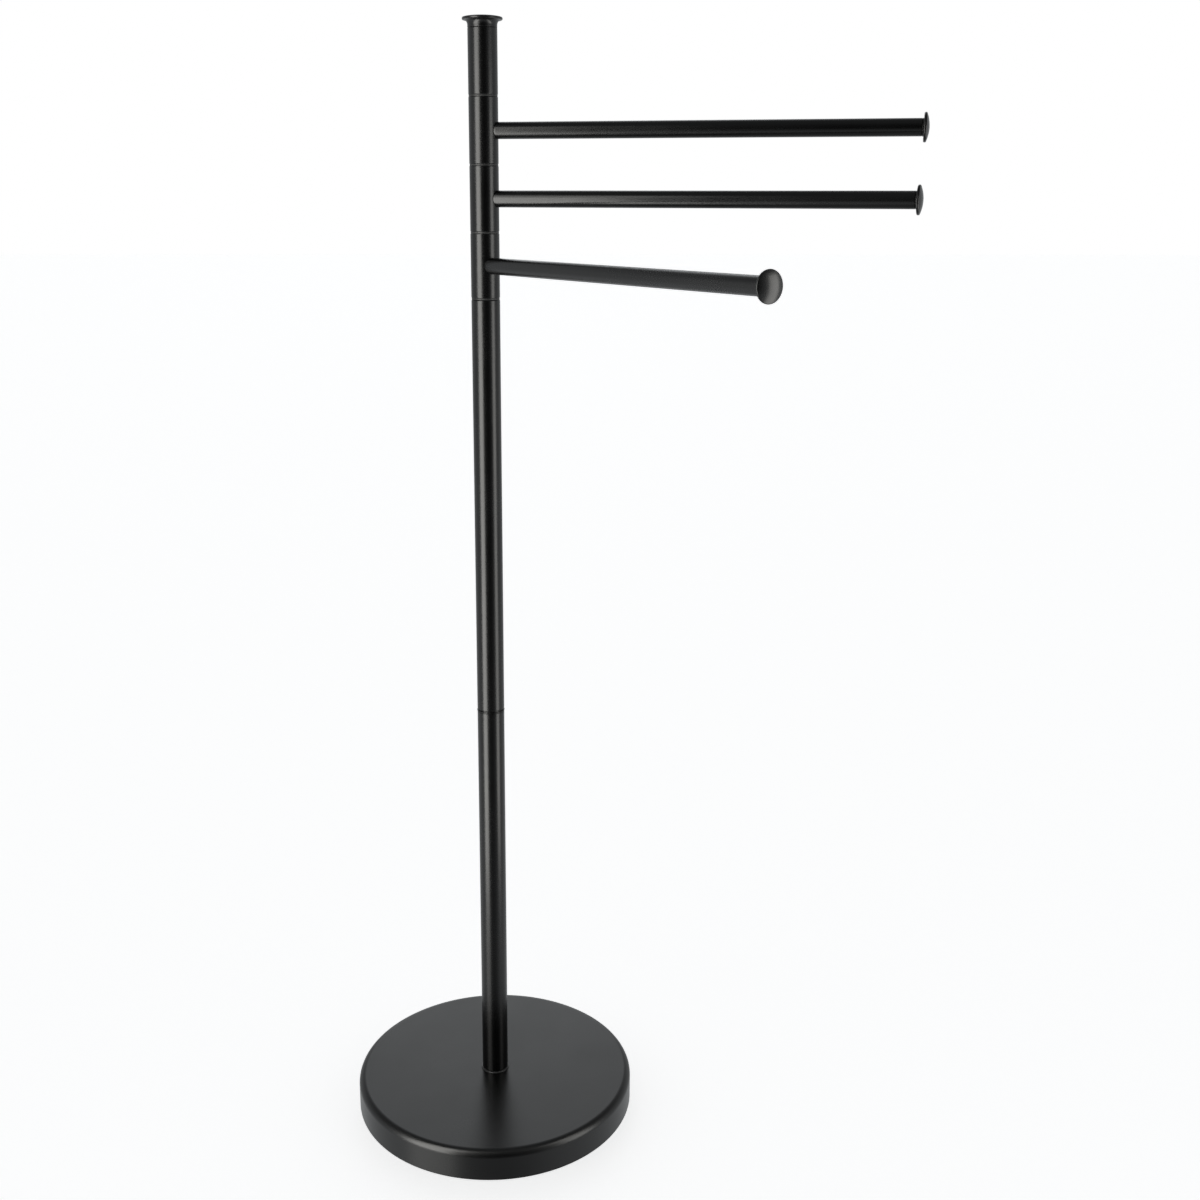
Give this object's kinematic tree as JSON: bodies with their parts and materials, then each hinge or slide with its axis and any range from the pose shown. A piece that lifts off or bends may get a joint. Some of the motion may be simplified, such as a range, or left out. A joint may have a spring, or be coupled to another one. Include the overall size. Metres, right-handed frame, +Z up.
{
  "type": "towel rack",
  "caption": "Free-standing towel rack with a round weighted base, a slim post and swivelling bar arms stacked on a spindle, each with a mushroom end cap.",
  "frame": {"origin": "centre of the base's underside, on the floor and on the pole's axis", "axes": "+Z up along the pole; at rest the arms point between +X and -Y, the side they are seen from is -Y"},
  "size_m": [0.4345, 0.403, 0.9065],
  "materials": {
    "powder_coat": "satin black powder coat on steel",
    "nylon": "black moulded nylon",
    "zinc_steel": "zinc-plated machined steel",
    "bright_rod": "bright drawn steel rod",
    "spring_steel": "oil-blackened spring steel",
    "concrete": "cast concrete, rough",
    "galvanised_sheet": "galvanised sheet",
    "foam_pad": "black closed-cell foam"
  },
  "bodies": {
    "stand": {"base_shell": "powder_coat", "base_weight": "concrete", "base_bottom_plate": "galvanised_sheet", "base_pad": "foam_pad", "base_washer": "zinc_steel", "base_nut": "zinc_steel", "base_stud": "zinc_steel", "foot_ring": "nylon", "lower_post": "powder_coat", "lower_post_bottom_insert": "zinc_steel", "lower_post_top_insert": "zinc_steel", "joint_ring": "powder_coat", "joint_stud": "zinc_steel", "upper_post_bottom_insert": "zinc_steel", "upper_post": "powder_coat", "upper_post_top_insert": "zinc_steel", "thrust_washer": "nylon", "spindle": "bright_rod", "top_sleeve": "powder_coat", "top_sleeve_insert": "nylon", "spindle_washer": "zinc_steel", "disc_spring": "spring_steel", "spindle_nut": "zinc_steel", "top_cap": "powder_coat"},
    "lower_arm": {"lower_hub": "powder_coat", "lower_arm_tube": "powder_coat", "lower_end_cap": "powder_coat", "lower_top_bush": "nylon", "lower_bottom_bush": "nylon", "lower_arm_root_plug": "zinc_steel", "lower_saddle_washer": "zinc_steel", "lower_arm_screw": "zinc_steel", "lower_arm_tip_plug": "zinc_steel"},
    "middle_arm": {"middle_hub": "powder_coat", "middle_arm_tube": "powder_coat", "middle_end_cap": "powder_coat", "middle_top_bush": "nylon", "middle_bottom_bush": "nylon", "middle_arm_root_plug": "zinc_steel", "middle_saddle_washer": "zinc_steel", "middle_arm_screw": "zinc_steel", "middle_arm_tip_plug": "zinc_steel"},
    "upper_arm": {"upper_hub": "powder_coat", "upper_arm_tube": "powder_coat", "upper_end_cap": "powder_coat", "upper_top_bush": "nylon", "upper_bottom_bush": "nylon", "upper_arm_root_plug": "zinc_steel", "upper_saddle_washer": "zinc_steel", "upper_arm_screw": "zinc_steel", "upper_arm_tip_plug": "zinc_steel"}
  },
  "joints": [
    {"name": "lower_arm_swivel", "type": "hinge", "parent": "stand", "child": "lower_arm", "pos_m": [0, 0, 0.7251], "axis": [0, 0, 1], "continuous": true},
    {"name": "middle_arm_swivel", "type": "hinge", "parent": "stand", "child": "middle_arm", "pos_m": [0, 0, 0.7749], "axis": [0, 0, 1], "continuous": true},
    {"name": "upper_arm_swivel", "type": "hinge", "parent": "stand", "child": "upper_arm", "pos_m": [0, 0, 0.8247], "axis": [0, 0, 1], "continuous": true}
  ]
}
